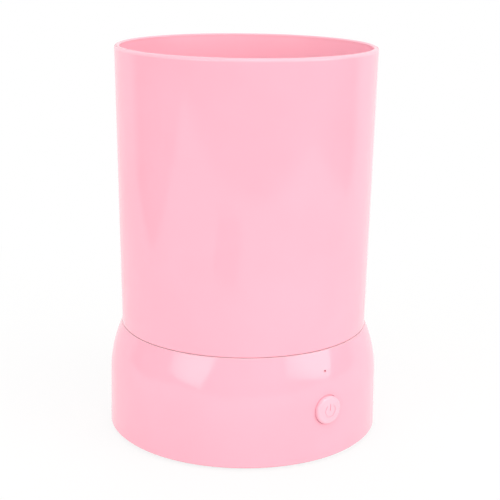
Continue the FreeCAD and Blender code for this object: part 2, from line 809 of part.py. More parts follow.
def motor_armature():
    radius = motor_radius - can_wall - press_gap - magnet_thickness - air_gap
    z0 = magnet_z0 + armature_inset
    z1 = magnet_z1 - armature_inset
    core = commutator_diameter / 2
    slot = block(core, radius + air_gap, -pole_slot / 2, pole_slot / 2, z0, z1)
    body = disc(radius, z0, z1).cut(around(slot, pole_count))
    body = body.fuse(disc(core, can_z0 + end_cap_depth + air_gap, z0))
    body = body.cut(disc(motor_shaft_diameter / 2 + press_gap, can_z0, z1))
    return moved(body.removeSplitter(), motor_x)


def motor_shaft():
    return disc(motor_shaft_diameter / 2, can_z0 + thrust_gap, gear_z1 + pinion_overhang, motor_x)


def motor_pinion():
    z0 = gear_z0 - pinion_overhang
    z1 = gear_z1 + pinion_overhang
    body = gear_body(pinion_teeth, z0, z1)
    body.rotate(ORIGIN, Z, 180.0 + 180.0 / pinion_teeth)
    return moved(body.cut(disc(motor_shaft_diameter / 2 + press_gap, z0, z1)), motor_x)


def facing_front(shape):
    """Turns a piece built along +Z so that its +Z points at the front and its +Y points up."""
    copy = shape.copy()
    copy.rotate(ORIGIN, X, 90)
    return moved(copy, z=button_z)


def power_mark():
    """Grooves of the plain on/off sign: an open ring and an upright bar."""
    z0 = button_face - mark_depth
    half = mark_line / 2
    ring = tube(mark_radius + half, mark_radius - half, z0, button_face + button_proud)
    gap = Part.makeCylinder(button_diameter, 2 * button_proud, FreeCAD.Vector(0, 0, z0), Z, mark_gap_angle)
    gap.rotate(ORIGIN, Z, 90.0 - mark_gap_angle / 2)
    bar = block(-half, half, mark_radius - mark_bar_length + half, mark_radius + half,
                z0, button_face + button_proud)
    return [ring.cut(gap), bar]


def power_button():
    radius = button_diameter / 2
    ball = (radius ** 2 + button_crown ** 2) / (2 * button_crown)
    edge_z = button_face - button_crown
    middle = radius / 2
    crown_z = button_face - ball + math.sqrt(ball ** 2 - middle ** 2)
    head = revolve([line((0, flange_back), (radius, flange_back)),
                    line((radius, flange_back), (radius, edge_z)),
                    arc((radius, edge_z), (middle, crown_z), (0, button_face)),
                    line((0, button_face), (0, flange_back))])
    head = round_ring(head, radius, edge_z, button_edge_round)
    flange = disc(button_flange_radius, flange_back, flange_face)
    stem = disc(button_stem_diameter / 2, plunger_face, flange_back)
    body = head.multiFuse([flange, stem]).removeSplitter()
    return facing_front(body.cut(power_mark()))


def switch_body():
    half = switch_size / 2
    body = block(-half, half, -switch_face, -switch_board_face, button_z - half, button_z + half)
    hole = front_rod(plunger_diameter / 2 + running_gap,
                     switch_face - plunger_engaged - plunger_travel_room, switch_face, button_z)
    return body.cut(hole)


def switch_plunger():
    return front_rod(plunger_diameter / 2, switch_face - plunger_engaged, plunger_face, button_z)


def switch_board():
    half = switch_board_width / 2
    return block(-half, half, -switch_board_face, -switch_board_back,
                 switch_board_z0, deck_under - switch_board_headroom)


def status_led():
    wide, high, thick = led_size
    return block(-wide / 2, wide / 2, -switch_board_face - thick, -switch_board_face,
                 led_z - high / 2, led_z + high / 2)


def light_guide():
    start = switch_board_face + led_size[2] + guide_end_gap
    seat = shell_radius(led_z + guide_rod_diameter / 2, shell_wall) - guide_end_gap
    rod = front_rod(guide_rod_diameter / 2, start, seat, led_z)
    tip = front_rod(guide_tip_diameter / 2, seat, shell_radius(led_z) - guide_tip_recess, led_z)
    return rod.fuse(tip)


def charge_board():
    half = charge_board_width / 2
    body = block(-half, half, charge_y0, charge_edge, charge_z0, charge_z1)
    body = body.common(disc(charge_edge, charge_z0, charge_z1))
    return body.cut([disc(pilot_radius(board_screw), charge_z0, charge_z1, x, y) for x, y in charge_posts])


def charge_board_screws():
    return [screw_down(board_screw, x, y, charge_z1) for x, y in charge_posts]


def charge_parts():
    parts = []
    x = -chip_pitch * (len(chip_sizes) - 1) / 2
    y = charge_y0 + chip_setback
    for wide, deep, high in chip_sizes:
        parts.append(block(x - wide / 2, x + wide / 2, y - deep / 2, y + deep / 2,
                           charge_z1, charge_z1 + high))
        x += chip_pitch
    return parts


def usb_shell():
    y0 = socket_mouth - socket_length
    inner = stadium(socket_width - 2 * socket_shell_wall, socket_height - 2 * socket_shell_wall,
                    y0, socket_mouth, socket_z)
    return stadium(socket_width, socket_height, y0, socket_mouth, socket_z).cut(inner)


def usb_tongue():
    y0 = socket_mouth - socket_length
    inset = socket_shell_wall + press_gap
    back = stadium(socket_width - 2 * inset, socket_height - 2 * inset, y0, y0 + tongue_base, socket_z)
    wide, high = tongue_size
    blade = block(-wide / 2, wide / 2, y0, socket_mouth - tongue_setback,
                  socket_z - high / 2, socket_z + high / 2)
    return back.fuse(blade).removeSplitter()


def cell_body(clearance=0.0):
    half = cell_length / 2
    radius = cell_diameter / 2 + clearance
    return Part.makeCylinder(radius, cell_length, FreeCAD.Vector(cell_x, -half, cell_z), Y)


def battery_cell():
    end = FreeCAD.Vector(cell_x, cell_length / 2, cell_z)
    return cell_body().fuse(Part.makeCylinder(cell_nub_diameter / 2, cell_nub_height, end, Y))


def battery_tabs():
    x0 = cell_x - cell_nub_diameter / 2
    x1 = cell_x + cell_diameter / 2 + tab_reach
    z0 = cell_z - tab_height / 2
    z1 = cell_z + tab_height / 2
    top = cell_length / 2 + cell_nub_height
    end = -cell_length / 2
    return [block(x0, cell_x + cell_diameter / 2, top, top + tab_thickness, z0, z1),
            block(x0, x1, end - tab_thickness, end, z0, z1)]


def battery_pad():
    wide, deep = cell_pad_size
    top = cover_top + 2 * cell_pad_thickness
    body = block(cell_x - wide / 2, cell_x + wide / 2, -deep / 2, deep / 2, cover_top, top)
    return body.cut(cell_body(press_gap))


def lead(points, diameter, bend):
    """Round lead along straight runs joined by tangent arcs."""
    points = [FreeCAD.Vector(*p) for p in points]
    edges = []
    start = points[0]
    for before, corner, after in zip(points, points[1:], points[2:]):
        into = (corner - before).normalize()
        out = (after - corner).normalize()
        turn = into.getAngle(out)
        reach = bend * math.tan(turn / 2)
        first = corner - into * reach
        last = corner + out * reach
        to_centre = (out - into).normalize()
        middle = corner + to_centre * (bend / math.cos(turn / 2) - bend)
        edges.append(Part.LineSegment(start, first).toShape())
        edges.append(Part.Arc(first, middle, last).toShape())
        start = last
    edges.append(Part.LineSegment(start, points[-1]).toShape())
    section = Part.Face(Part.Wire(Part.makeCircle(diameter / 2, points[0], points[1] - points[0])))
    return Part.Wire(edges).makePipe(section)


lead_pad_y = charge_y0 + lead_pad_setback


def motor_leads():
    leads = []
    z = motor_z0 - terminal_size[2] / 2
    for i, side in enumerate((-1, 1)):
        x = motor_x + side * terminal_spacing / 2
        pad_x = lead_pad_start + i * lead_pad_pitch
        turn_y = motor_radius + i * lead_pad_pitch
        route = [(x, terminal_size[1] / 2, z), (x, turn_y, z), (pad_x, lead_pad_y - lead_last_run, z),
                 (pad_x, lead_pad_y, z), (pad_x, lead_pad_y, charge_z0)]
        leads.append(lead(route, lead_diameter, lead_bend))
    return leads


def battery_leads():
    z = cell_z - tab_height / 2 + lead_diameter
    top = cell_length / 2 + cell_nub_height + tab_thickness
    low = -cell_length / 2
    side_x = cell_x + cell_diameter / 2 + tab_reach - lead_diameter / 2
    far_x = -lead_pad_start - lead_pad_pitch
    near_x = -lead_pad_start
    near = lead([(side_x, low, z), (side_x, saddle_spacing / 2, z), (near_x, lead_pad_y - lead_last_run, z),
                 (near_x, lead_pad_y, z), (near_x, lead_pad_y, charge_z0)], lead_diameter, lead_bend)
    start_x = cell_x + cell_nub_diameter / 2
    run_y = top + lead_bend + lead_rest_gap
    far = lead([(start_x, top, z), (start_x, run_y, z), (far_x, lead_pad_y, z),
                (far_x, lead_pad_y, charge_z0)], lead_diameter, lead_bend)
    return [near, far]


def switch_leads():
    leads = []
    z = cover_top + ribbon_wire_diameter / 2 + lead_rest_gap
    rise_y = -switch_board_back + ribbon_rise_gap
    for i in range(ribbon_wires):
        x = ribbon_pitch * (i - (ribbon_wires - 1) / 2)
        route = [(x, lead_pad_y, charge_z0), (x, lead_pad_y, z), (x, rise_y, z), (x, rise_y, button_z),
                 (x, -switch_board_back, button_z)]
        leads.append(lead(route, ribbon_wire_diameter, ribbon_bend))
    return leads


PIECES = [
    base_shell, bottom_cover, rubber_feet, cover_screws, cup_gasket,
    gear_plate, gear_plate_screws, motor_can, motor_end_cap, motor_terminals, motor_screws, motor_magnets,
    upper_bush, lower_bush, battery_cell, battery_tabs, battery_pad,
    switch_board, switch_body, status_led, light_guide,
    charge_board, charge_board_screws, charge_parts, usb_shell, usb_tongue,
    motor_leads, battery_leads, switch_leads,
    drive_shaft, drive_gear, drive_coupling, motor_armature, motor_shaft, motor_pinion,
    wash_cup, cup_bush, shaft_seal, turntable_shaft, driven_coupling, pad_carrier, scrub_pad, pad_cap,
    power_button, switch_plunger,
]

os.makedirs("parts", exist_ok=True)
for piece in PIECES:
    made = piece()
    shape = Part.makeCompound(made) if isinstance(made, list) else made
    shape.exportStep("parts/" + piece.__name__ + ".step")
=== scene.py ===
import json
import math

import bmesh
import bpy
from mathutils import Matrix, Vector


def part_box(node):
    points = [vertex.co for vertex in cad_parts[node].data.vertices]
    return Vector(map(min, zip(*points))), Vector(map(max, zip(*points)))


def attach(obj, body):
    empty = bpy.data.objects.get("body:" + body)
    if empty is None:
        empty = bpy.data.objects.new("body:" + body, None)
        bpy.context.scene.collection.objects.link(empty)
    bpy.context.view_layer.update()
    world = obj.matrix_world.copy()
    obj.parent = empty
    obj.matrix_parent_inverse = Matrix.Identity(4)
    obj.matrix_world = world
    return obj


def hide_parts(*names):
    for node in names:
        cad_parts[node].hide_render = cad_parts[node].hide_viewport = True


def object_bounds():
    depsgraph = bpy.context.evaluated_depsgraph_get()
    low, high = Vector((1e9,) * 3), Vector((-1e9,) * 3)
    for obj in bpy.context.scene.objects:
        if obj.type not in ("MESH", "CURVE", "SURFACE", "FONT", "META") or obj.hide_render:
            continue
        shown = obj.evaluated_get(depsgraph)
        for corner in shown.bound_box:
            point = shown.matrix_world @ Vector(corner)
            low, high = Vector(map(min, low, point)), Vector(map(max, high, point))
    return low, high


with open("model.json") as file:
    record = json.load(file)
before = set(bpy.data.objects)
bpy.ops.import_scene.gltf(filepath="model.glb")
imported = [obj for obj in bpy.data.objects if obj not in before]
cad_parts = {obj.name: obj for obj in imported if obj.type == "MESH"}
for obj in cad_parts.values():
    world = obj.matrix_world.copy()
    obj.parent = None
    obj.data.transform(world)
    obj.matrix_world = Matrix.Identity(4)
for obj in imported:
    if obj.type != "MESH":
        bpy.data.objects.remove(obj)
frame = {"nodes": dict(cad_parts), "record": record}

# Electric cosmetic brush cleaner: a lift-off wash cup with a turning scrubbing pad, on a motor base.
# Metres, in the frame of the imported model: the floor is z = 0 and the push button faces -Y.

cad_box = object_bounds()
MM = 0.001

# Camera: where it stands and how it is turned, as seen from the object's axis
camera_azimuth = math.radians(-36.6)
camera_distance = 441.9 * MM
camera_height = 183.3 * MM
camera_pitch = math.radians(14.872)
camera_yaw = math.radians(-0.278)
camera_roll = math.radians(0.733)
camera_lens = 88.80
sensor_width = 36.0
nearest_seen = 0.01
farthest_seen = 20.0

# Lamps: angles in degrees, azimuths from the camera's direction and positive to the right of the picture.
# A lamp's cloth is brightest at its hot spot, given in shares of its width and height.
light_target = Vector((0.0, 0.0, 0.05))
lamp_colour = (1.0, 0.975, 0.91)
lamp_edge = 0.15
lamp_fade = (0.3, 0.8)
lamp_centre = (0.5, 0.5)
window_roll = -15
window_hot_spot = (0.65, 0.5)
lamps = {
    "window_left": dict(azimuth=-46, elevation=18, distance=1.0, width=0.62, height=0.62, power=3.6,
                        roll=window_roll, hot_spot=window_hot_spot),
    "softbox_right": dict(azimuth=61, elevation=19, distance=1.0, width=0.80, height=0.62, power=4.6,
                          roll=window_roll, hot_spot=window_hot_spot),
    "softbox_top": dict(azimuth=14, elevation=62, distance=1.1, width=1.0, height=0.8, power=4.3),
    "fill_back": dict(azimuth=180, elevation=28, distance=1.2, width=1.6, height=1.0, power=4.5,
                      shows=False),
}

# Room: its ambient light, and how bright it is in reflections before it turns white behind the object
ambient_strength = 0.76
room_level = 0.25
room_turn = (0.25, 0.45)

# White sheet under the object: its corners as (right, towards the camera) from the object's axis.
# A slit from its near edge leads to the hole for the camera's stand.
stand_hole = ((-0.071, 0.44), (-0.071, 0.385), (-0.135, 0.355), (-0.115, 0.24),
              (-0.03, 0.235), (-0.005, 0.35), (-0.069, 0.385), (-0.069, 0.44))
sheet_corners = ((-0.67, 0.50), *stand_hole, (0.56, 0.32), (0.43, -0.05), (0.62, -0.50),
                 (2.0, -4.0), (-2.0, -4.0), (-0.71, -0.42), (-0.29, 0.03))
sheet_albedo = 0.85
sheet_mottle = 0.985
sheet_mottle_size = 0.04
sheet_white_near = 0.86
sheet_fade = (0.08, 0.28)

# Scrubbing pad: a mat with nubs in rings, and rings of shorter bristles between them.
# The bulge and the bends are shares of the edge and of the flare that they soften.
mat_thickness = 1.8 * MM
mat_bore = 5.0 * MM
mat_edge = mat_thickness / 4
mat_edge_bulge = 0.3
mat_segments = 128
circle_step = 6.0 * MM
nub_first_circle = 13.0 * MM
nub_circles = 4
nubs_per_step = 6
nub_base = 1.5 * MM
nub_tip = 0.85 * MM
nub_segments = 14
bristle_first_circle = 10.0 * MM
bristle_circles = 5
bristle_pitch = 3.1 * MM
bristle_height = 4.2 * MM
bristle_base = 0.85 * MM
bristle_tip = 0.5 * MM
bristle_segments = 10
root_flare = 0.35 * MM
root_bend_out = 0.3
root_bend_up = 0.4
tip_angles = [math.radians(a) for a in (0, 30, 60)]
sharp_angle = math.radians(40)

# Pink plastic: its tones, the mould's core side (satin, and painted paler as painted light), a greyer band
# over the seam gap, and a paler band at the rim that is a painted highlight
pink = (0.945, 0.426, 0.530)
pink_light = (0.945, 0.490, 0.590)
# Painted light: the paler pink of the faces towards the axis lifts the shaded inside of the cup
pink_inside_painted_light = (0.99, 0.512, 0.618)
inside_roughness = 0.24
inside_turn = (-0.5, -0.2)
# A greyer, rougher band laid over the seam gap, with its share
seam_grey = (0.66, 0.62, 0.64)
seam_band_roughness = 0.8
seam_grey_share = 0.5
seam_gap = 0.12 * MM
# Painted highlight: a paler pink band along the rim's lip, with its roughness and reach
pink_rim_painted_highlight = (0.955, 0.480, 0.575)
rim_band_roughness = 0.2
rim_highlight_reach = 0.9 * MM
band_fade = 1.5

# Lines of machined metal: how far each axis draws them out
ALONG_Y = (1, 40, 1)
ALONG_Z = (1, 1, 40)
AROUND_Z = (30, 30, 1)

# Distance from crest to crest in a wave texture at scale 1
WAVE_PERIOD = 0.314

# Materials by the record's slot, filled by new_finish
finishes = {}


def link(source, node, socket):
    """Feeds a socket of a node."""
    node.id_data.links.new(source, node.inputs[socket])


def follow(source, kind, socket):
    """New node of a kind, fed at this socket by the source."""
    node = source.id_data.nodes.new(kind)
    link(source, node, socket)
    return node


def coordinate(node, kind):
    """Texture coordinate of a kind, in the tree of a node."""
    return node.id_data.nodes.new("ShaderNodeTexCoord").outputs[kind]


def stretched(place, stretch):
    """The place, with each axis drawn out by its stretch."""
    node = follow(place, "ShaderNodeMapping", "Vector")
    node.inputs["Scale"].default_value = [1.0 / s for s in stretch]
    return node.outputs["Vector"]


def noise(place, size, detail=2.0, roughness=0.5):
    """Soft noise with features of about this size in metres."""
    node = follow(place, "ShaderNodeTexNoise", "Vector")
    node.inputs["Scale"].default_value = 1.0 / size
    node.inputs["Detail"].default_value = detail
    node.inputs["Roughness"].default_value = roughness
    return node.outputs["Fac"]


def cells(place, size):
    """Distance from the middle of a cell, with cells of about this size in metres."""
    node = follow(place, "ShaderNodeTexVoronoi", "Vector")
    node.inputs["Scale"].default_value = 1.0 / size
    return node.outputs["Distance"]


def ramp(factor, first, last, start=0.3, end=0.7):
    """Colour that goes from the first to the last as the factor goes from start to end."""
    node = follow(factor, "ShaderNodeValToRGB", "Fac")
    for element, position, colour in zip(node.color_ramp.elements, (start, end), (first, last)):
        element.position = position
        element.color = (*colour, 1.0)
    return node.outputs["Color"]


def between(factor, low, high, start=0.35, end=0.65):
    """A number that goes from low to high as the factor goes from start to end."""
    node = follow(factor, "ShaderNodeMapRange", "Value")
    for socket, value in zip(("From Min", "From Max", "To Min", "To Max"), (start, end, low, high)):
        node.inputs[socket].default_value = value
    return node.outputs["Result"]


def relief(height, depth, under=None):
    """Bump of this depth in metres, on top of another one if given."""
    node = follow(height, "ShaderNodeBump", "Height")
    node.inputs["Strength"].default_value = 1.0
    node.inputs["Distance"].default_value = depth
    if under is not None:
        link(under, node, "Normal")
    return node.outputs["Normal"]


def number_step(operation, first, second):
    """One step of arithmetic on two sockets."""
    node = follow(first, "ShaderNodeMath", 0)
    node.operation = operation
    link(second, node, 1)
    return node.outputs["Value"]


def vector_step(operation, first, second=None):
    """One step of vector arithmetic; the second operand is a socket or three numbers."""
    node = follow(first, "ShaderNodeVectorMath", 0)
    node.operation = operation
    if isinstance(second, tuple):
        node.inputs[1].default_value = second
    elif second is not None:
        link(second, node, 1)
    return node.outputs["Value" if operation in ("DOT_PRODUCT", "LENGTH", "DISTANCE") else "Vector"]


def lay_over(surface, socket, factor, value):
    """Lays a colour or a number over what feeds a socket, as far as the factor says."""
    target = surface.inputs[socket]
    node = surface.id_data.nodes.new("ShaderNodeMix")
    node.data_type = "RGBA" if target.type == "RGBA" else "FLOAT"
    share, under, over = [s for s in node.inputs if s.enabled]
    result = next(s for s in node.outputs if s.enabled)
    links = surface.id_data.links
    links.new(factor, share)
    links.new(target.links[0].from_socket, under)
    over.default_value = value
    links.new(result, target)


def mix_shaders(factor, first, second, output):
    """Feeds a tree's output with two shaders, mixed as the factor says."""
    node = follow(factor, "ShaderNodeMixShader", "Fac")
    link(first, node, 1)
    link(second, node, 2)
    link(node.outputs["Shader"], node.id_data.nodes[output], "Surface")


def surface_of(slot):
    """Surface shader of a slot's material."""
    return finishes[slot].node_tree.nodes["Principled BSDF"]


def new_finish(slot):
    """New material for a slot of the record: its surface shader and the place on the object in metres."""
    finishes[slot] = bpy.data.materials.new(slot)
    finishes[slot].use_nodes = True
    surface = surface_of(slot)
    return surface, coordinate(surface, "Object")


def tint(surface, factor, colour, spread, start=0.3, end=0.7):
    """Base colour from a darker to a lighter neighbour of a colour, as the factor says."""
    dark = [min(c * (1 - spread), 1.0) for c in colour]
    light = [min(c * (1 + spread), 1.0) for c in colour]
    link(ramp(factor, dark, light, start, end), surface, "Base Color")


def polish(surface, factor, low, high):
    """Roughness from low to high, as the factor says."""
    link(between(factor, low, high), surface, "Roughness")


def plastic(slot, colour, roughness, spread, blotch, wave, grain=(0.5 * MM, 0.001 * MM)):
    """Moulded plastic: a slow drift of tone, gentle waves in the surface and a fine skin.

    The waves and the skin's grain are given as (size, depth).
    """
    surface, place = new_finish(slot)
    tint(surface, noise(place, blotch), colour, spread)
    haze = noise(place, blotch / 5, detail=4.0, roughness=0.6)
    polish(surface, haze, roughness * 0.85, roughness * 1.25)
    wave_size, wave_depth = wave
    grain_size, grain_depth = grain
    waves = relief(noise(place, wave_size, detail=1.0), wave_depth)
    link(relief(noise(place, grain_size, detail=3.0), grain_depth, waves), surface, "Normal")


def satin_core_and_painted_light(slot, colour, roughness):
    """The faces that look towards the axis came off the mould's core: satin. Their pink is painted paler:
    painted light that lifts the shaded inside of the cup.
    """
    surface = surface_of(slot)
    level = vector_step("MULTIPLY", coordinate(surface, "Object"), (1, 1, 0))
    outward = vector_step("NORMALIZE", level)
    facing = vector_step("DOT_PRODUCT", outward, coordinate(surface, "Normal"))
    inward = between(facing, 1.0, 0.0, *inside_turn)
    # Painted light: the faces towards the axis get the paler pink
    lay_over(surface, "Base Color", inward, (*colour, 1.0))
    lay_over(surface, "Roughness", inward, roughness)


def level_band(slot, height, reach, colour, roughness, share=1.0):
    """Lays a share of another finish over what lies within this reach of a height."""
    surface = surface_of(slot)
    upright = vector_step("MULTIPLY", coordinate(surface, "Object"), (0, 0, 1))
    away = vector_step("DISTANCE", upright, (0, 0, height))
    factor = between(away, share, 0.0, reach, reach * band_fade)
    lay_over(surface, "Base Color", factor, (*colour, 1.0))
    lay_over(surface, "Roughness", factor, roughness)


def rubber(slot, colour, roughness=0.65, grain=0.35 * MM, patch=5 * MM):
    """Matt rubber with a fine pebbled skin and dustier patches."""
    surface, place = new_finish(slot)
    dust = noise(place, patch, detail=5.0, roughness=0.65)
    tint(surface, dust, colour, spread=0.12, start=0.35)
    polish(surface, dust, roughness * 0.9, roughness * 1.15)
    link(relief(cells(place, grain), depth=0.02 * MM), surface, "Normal")


def silicone(slot, colour, cloud=9 * MM, skin=0.6 * MM, glow=2 * MM):
    """Soft translucent rubber with light inside it and a faintly dusty skin."""
    surface, place = new_finish(slot)
    tint(surface, noise(place, cloud, detail=3.0), colour, spread=0.05)
    surface.inputs["Subsurface Weight"].default_value = 0.25
    surface.inputs["Subsurface Radius"].default_value = (1.0, 0.6, 0.55)
    surface.inputs["Subsurface Scale"].default_value = glow
    dust = noise(place, skin, detail=3.0)
    polish(surface, dust, 0.34, 0.46)
    link(relief(dust, depth=0.006 * MM), surface, "Normal")


def metal(slot, colour, roughness, stretch, line=0.12 * MM, stain=3 * MM):
    """Metal with fine lines from turning or drawing, drawn out by the stretch along each axis."""
    surface, place = new_finish(slot)
    surface.inputs["Metallic"].default_value = 1.0
    lines = noise(stretched(place, stretch), line, detail=4.0, roughness=0.6)
    tint(surface, lines, colour, spread=0.10)
    polish(surface, noise(place, stain, detail=3.0), roughness * 0.8, roughness * 1.3)
    link(relief(lines, depth=0.004 * MM), surface, "Normal")


def winding(slot, colour, wire):
    """Enamelled copper wire wound in layers around the Z axis."""
    surface, place = new_finish(slot)
    turns = follow(place, "ShaderNodeTexWave", "Vector")
    turns.bands_direction = "Z"
    turns.inputs["Scale"].default_value = WAVE_PERIOD / wire
    turns.inputs["Distortion"].default_value = 0.6
    tint(surface, turns.outputs["Fac"], colour, spread=0.35, start=0.1, end=0.9)
    surface.inputs["Metallic"].default_value = 1.0
    surface.inputs["Roughness"].default_value = 0.35
    link(relief(turns.outputs["Fac"], depth=0.08 * MM), surface, "Normal")


def foam(slot, colour, cell=0.5 * MM):
    """Foam tape: a skin of small pits."""
    surface, place = new_finish(slot)
    pits = cells(place, cell)
    tint(surface, pits, colour, spread=0.35, start=0.1, end=0.6)
    surface.inputs["Roughness"].default_value = 0.95
    link(relief(pits, depth=0.2 * MM), surface, "Normal")


def board(slot, colour, track, pitch=6 * MM, smear=2 * MM):
    """Lacquered circuit board: raised tracks under the lacquer in a brick layout."""
    surface, place = new_finish(slot)
    tracks = follow(place, "ShaderNodeTexBrick", "Vector")
    tracks.inputs["Scale"].default_value = 1.0 / pitch
    tracks.inputs["Mortar Size"].default_value = 0.04
    tracks.inputs["Color1"].default_value = (*colour, 1.0)
    tracks.inputs["Color2"].default_value = (*[c * 0.85 for c in colour], 1.0)
    tracks.inputs["Mortar"].default_value = (*track, 1.0)
    link(tracks.outputs["Color"], surface, "Base Color")
    polish(surface, noise(place, smear, detail=3.0), 0.25, 0.4)
    link(relief(tracks.outputs["Fac"], depth=0.03 * MM), surface, "Normal")


def clear(slot, dark, light, streak=0.6 * MM):
    """Frosted clear moulding with streaks of haze in it."""
    surface, place = new_finish(slot)
    haze = noise(place, streak, detail=3.0)
    link(ramp(haze, dark, light), surface, "Base Color")
    surface.inputs["Transmission Weight"].default_value = 0.5
    polish(surface, haze, 0.25, 0.4)
    link(relief(haze, depth=0.004 * MM), surface, "Normal")


def make_pink_finishes():
    """Plastics of the outside."""
    plastic("pink_gloss", pink, roughness=0.09, spread=0.022, blotch=30 * MM,
            wave=(18 * MM, 0.012 * MM), grain=(0.5 * MM, 0.0004 * MM))
    plastic("pink_button", pink_light, roughness=0.22, spread=0.02, blotch=4 * MM,
            wave=(5 * MM, 0.004 * MM))
    plastic("pink_cover", pink, roughness=0.42, spread=0.03, blotch=20 * MM,
            wave=(10 * MM, 0.01 * MM), grain=(0.25 * MM, 0.012 * MM))
    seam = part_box("base_shell")[1].z + seam_gap / 2
    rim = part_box("wash_cup")[1].z
    satin_core_and_painted_light("pink_gloss", pink_inside_painted_light, inside_roughness)
    # A greyer, rougher band over the seam gap
    level_band("pink_gloss", seam, seam_gap, seam_grey, seam_band_roughness, seam_grey_share)
    # Painted highlight: a paler band along the rim
    level_band("pink_gloss", rim, rim_highlight_reach, pink_rim_painted_highlight, rim_band_roughness)


def make_soft_finishes():
    """Feet, seals, pad and foam tape."""
    rubber("foot_rubber", (0.62, 0.60, 0.58), roughness=0.7)
    rubber("rubber_black", (0.025, 0.025, 0.027))
    silicone("silicone_pale", (0.86, 0.84, 0.82))
    silicone("silicone_pink", (0.90, 0.50, 0.60))
    foam("foam", (0.10, 0.10, 0.11))


def make_metal_finishes():
    """Screws, shafts, motor, bushes, contacts and the charging socket."""
    metal("screw_steel", (0.56, 0.55, 0.53), roughness=0.32, stretch=AROUND_Z)
    metal("shaft_steel", (0.60, 0.60, 0.60), roughness=0.20, stretch=AROUND_Z)
    metal("motor_steel", (0.52, 0.53, 0.54), roughness=0.36, stretch=ALONG_Z)
    metal("bronze", (0.52, 0.33, 0.16), roughness=0.40, stretch=AROUND_Z)
    metal("terminal_brass", (0.75, 0.55, 0.24), roughness=0.30, stretch=ALONG_Z)
    metal("nickel", (0.62, 0.60, 0.56), roughness=0.28, stretch=ALONG_Z)
    metal("socket_steel", (0.58, 0.58, 0.58), roughness=0.26, stretch=ALONG_Y)
    winding("copper_coil", (0.72, 0.30, 0.13), wire=0.35 * MM)


def make_inner_finishes():
    """Plastics of the inner pieces, the leads and the electric parts."""
    plastic("white_plastic", (0.80, 0.79, 0.77), roughness=0.35, spread=0.03, blotch=8 * MM,
            wave=(6 * MM, 0.006 * MM))
    plastic("gear_plastic", (0.82, 0.80, 0.74), roughness=0.40, spread=0.04, blotch=6 * MM,
            wave=(5 * MM, 0.006 * MM))
    plastic("black_plastic", (0.022, 0.022, 0.024), roughness=0.40, spread=0.15, blotch=4 * MM,
            wave=(5 * MM, 0.006 * MM))
    plastic("coupling_plastic", (0.78, 0.77, 0.75), roughness=0.38, spread=0.04, blotch=6 * MM,
            wave=(5 * MM, 0.008 * MM))
    plastic("cell_wrap", (0.06, 0.22, 0.42), roughness=0.25, spread=0.06, blotch=9 * MM,
            wave=(4 * MM, 0.02 * MM))
    insulation = dict(roughness=0.38, blotch=3 * MM, wave=(2 * MM, 0.006 * MM))
    plastic("lead_red", (0.52, 0.03, 0.025), spread=0.08, **insulation)
    plastic("lead_black", (0.02, 0.02, 0.022), spread=0.15, **insulation)
    plastic("lead_white", (0.78, 0.77, 0.75), spread=0.05, **insulation)
    rubber("ferrite", (0.045, 0.043, 0.045), roughness=0.55, grain=0.25 * MM)
    rubber("chip_black", (0.028, 0.028, 0.030), roughness=0.5, grain=0.15 * MM)
    board("board_green", (0.015, 0.14, 0.045), track=(0.03, 0.26, 0.08))
    clear("clear", (0.72, 0.73, 0.75), (0.86, 0.87, 0.88))


def dress_nodes():
    """Every carried-over solid gets the finish of its slot in the record."""
    for entry in frame["record"]["subparts"]:
        mesh = frame["nodes"][entry["node"]].data
        mesh.materials.clear()
        mesh.materials.append(finishes[entry["material_slot"]])


def add_object(name, data):
    """New object in the scene."""
    thing = bpy.data.objects.new(name, data)
    bpy.context.scene.collection.objects.link(thing)
    return thing


def finished_mesh(name, shape):
    """Mesh of a shape that is ready, with its faces turned outward."""
    bmesh.ops.recalc_face_normals(shape, faces=shape.faces)
    mesh = bpy.data.meshes.new(name)
    shape.to_mesh(mesh)
    shape.free()
    return mesh


def piece(name, shape, finish, body, *replaced):
    """New piece of the object on a body, with a record slot's finish, in place of solids."""
    mesh = finished_mesh(name, shape)
    mesh.materials.append(finishes[finish])
    mesh.shade_smooth()
    mesh.set_sharp_from_angle(angle=sharp_angle)
    thing = add_object(name, mesh)
    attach(thing, body)
    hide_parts(*replaced)


def ring_places(radius, count, first=0.0):
    """Evenly spaced places on a circle around the axis, as (x, y)."""
    angles = [first + 2 * math.pi * i / count for i in range(count)]
    return [(radius * math.cos(a), radius * math.sin(a)) for a in angles]


def turned(shape, profile, segments, x=0.0, y=0.0):
    """Adds a closed form turned about an upright line, from (radius, z) points.

    A zero radius is one corner.
    """
    rings = []
    for radius, z in profile:
        places = ring_places(radius, segments if radius > 0 else 1)
        rings.append([shape.verts.new((x + dx, y + dy, z)) for dx, dy in places])
    for low, high in zip(rings, rings[1:] + rings[:1]):
        for i in range(segments):
            around = ((low, i), (low, i + 1), (high, i + 1), (high, i))
            corners = list(dict.fromkeys(ring[k % len(ring)] for ring, k in around))
            if len(corners) > 2:
                shape.faces.new(corners)


def bristle(base, tip, z0, z1):
    """Profile of a bristle with a flared root and a round tip, sunk a little into what it stands on."""
    root = base + root_flare
    bend = (base + root_flare * root_bend_out, z0 + root_flare * root_bend_up)
    dome = z1 - tip
    points = [(0.0, z0 - root_flare), (root, z0 - root_flare), (root, z0), bend, (base, z0 + root_flare)]
    points += [(tip * math.cos(a), dome + tip * math.sin(a)) for a in tip_angles]
    return points + [(0.0, z1)]


